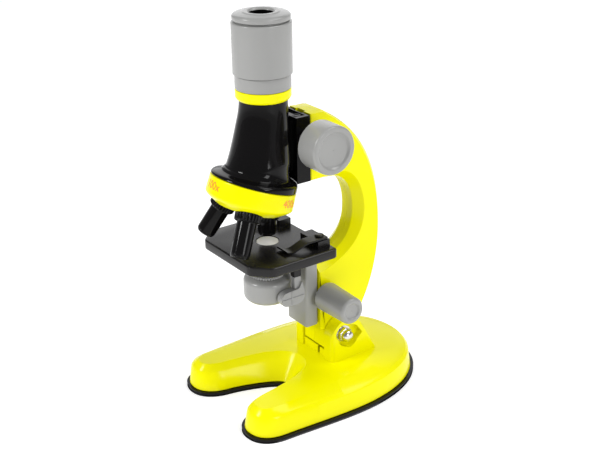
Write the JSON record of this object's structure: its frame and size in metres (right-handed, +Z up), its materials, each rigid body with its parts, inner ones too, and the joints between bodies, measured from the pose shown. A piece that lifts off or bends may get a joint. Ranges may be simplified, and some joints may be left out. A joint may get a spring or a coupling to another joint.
{
  "type": "toy microscope",
  "caption": "Toy microscope with a horseshoe base, tilting curved arm, rack focusing, turning lens turret, raising stage with clips and a flip-over lamp and mirror.",
  "frame": {"origin": "on the floor, under the middle of the object's bounding box", "axes": "+Z up, -Y towards the front (the open end of the base and the lens turret), X across between the focusing knobs"},
  "size_m": [0.0926, 0.1276, 0.22],
  "materials": {
    "yellow_plastic": "smooth moulded, semi-gloss",
    "gloss_black": "gloss",
    "satin_black": "satin",
    "grey_plastic": "satin",
    "steel": "plated",
    "glass": "clear",
    "frosted_plastic": "frosted",
    "mirror": "polished",
    "circuit_board": "lacquered",
    "battery_wrap": "printed sleeve"
  },
  "bodies": {
    "base": {"base_shell": "yellow_plastic", "base_plate": "gloss_black", "battery_door": "gloss_black", "battery_door_screw": "steel", "base_screw_1": "steel", "base_screw_2": "steel", "base_screw_3": "steel", "base_screw_4": "steel", "battery_left": "battery_wrap", "battery_right": "battery_wrap", "battery_link": "steel", "battery_contact_left": "steel", "battery_contact_right": "steel", "hinge_bolt": "steel", "hinge_nut": "steel"},
    "arm": {"arm_left": "yellow_plastic", "arm_right": "yellow_plastic", "arm_screw_1": "steel", "arm_screw_2": "steel", "arm_screw_3": "steel", "focus_rack": "grey_plastic"},
    "tube": {"tube_body": "gloss_black", "tube_carriage": "gloss_black", "tube_collar": "yellow_plastic", "eyepiece_sleeve": "grey_plastic", "turret_pivot_screw": "steel"},
    "focus_knobs": {"focus_shaft": "steel", "focus_knob_left": "grey_plastic", "focus_knob_right": "grey_plastic"},
    "eyepiece": {"eyepiece_barrel": "grey_plastic", "eyepiece_lid": "grey_plastic", "eye_lens": "glass", "field_lens": "glass"},
    "turret": {"turret_ring": "yellow_plastic", "objective_100_barrel": "gloss_black", "objective_100_lens": "glass", "objective_400_barrel": "gloss_black", "objective_400_lens": "glass", "objective_1200_barrel": "gloss_black", "objective_1200_lens": "glass"},
    "stage": {"stage_plate": "satin_black", "stage_window": "frosted_plastic", "stage_column": "grey_plastic", "stage_rack": "grey_plastic", "lamp_yoke": "grey_plastic", "clip_stud_left": "satin_black", "clip_stud_right": "satin_black"},
    "stage_knobs": {"stage_shaft": "steel", "stage_knob_left": "grey_plastic", "stage_knob_right": "grey_plastic"},
    "clip_left": {"clip_left": "satin_black"},
    "clip_right": {"clip_right": "satin_black"},
    "lamp": {"lamp_housing": "grey_plastic", "lamp_mirror": "mirror", "lamp_bezel": "grey_plastic", "lamp_lens": "glass", "lamp_board": "circuit_board", "lamp_led": "glass"}
  },
  "joints": [
    {"name": "arm_tilt", "type": "hinge", "parent": "base", "child": "arm", "pos_m": [0, 0.0124, 0.0312], "axis": [-1, 0, 0], "range_deg": [0, 45]},
    {"name": "focus_slide", "type": "slide", "parent": "arm", "child": "tube", "axis": [0, 0, 1], "range_m": [-0.002, 0.0085]},
    {"name": "focus_knob_turn", "type": "hinge", "parent": "tube", "child": "focus_knobs", "pos_m": [0, -0.00965, 0.15215], "axis": [1, 0, 0], "range_deg": [-140, 40]},
    {"name": "eyepiece_slide", "type": "slide", "parent": "tube", "child": "eyepiece", "axis": [0, 0, 1], "range_m": [0, 0.008]},
    {"name": "turret_turn", "type": "hinge", "parent": "tube", "child": "turret", "pos_m": [0, -0.04003, 0.11885], "axis": [0, -0.3289, -0.9444], "range_deg": [-20, 20]},
    {"name": "stage_slide", "type": "slide", "parent": "arm", "child": "stage", "axis": [0, 0, 1], "range_m": [-0.015, 0.0015]},
    {"name": "stage_knob_turn", "type": "hinge", "parent": "arm", "child": "stage_knobs", "pos_m": [0, 0.002, 0.0575], "axis": [1, 0, 0], "range_deg": [-30, 245]},
    {"name": "clip_left_turn", "type": "hinge", "parent": "stage", "child": "clip_left", "pos_m": [-0.022, -0.01, 0.0954], "axis": [0, 0, 1], "range_deg": [-20, 20]},
    {"name": "clip_right_turn", "type": "hinge", "parent": "stage", "child": "clip_right", "pos_m": [0.022, -0.01, 0.0954], "axis": [0, 0, 1], "range_deg": [-20, 20]},
    {"name": "lamp_flip", "type": "hinge", "parent": "stage", "child": "lamp", "pos_m": [0, -0.0292, 0.0669], "axis": [1, 0, 0], "range_deg": [0, 180]}
  ],
  "couplings": [
    {"joint": "focus_knob_turn", "follows": "focus_slide", "rad_per_m": -277.78},
    {"joint": "stage_knob_turn", "follows": "stage_slide", "rad_per_m": -277.78}
  ]
}
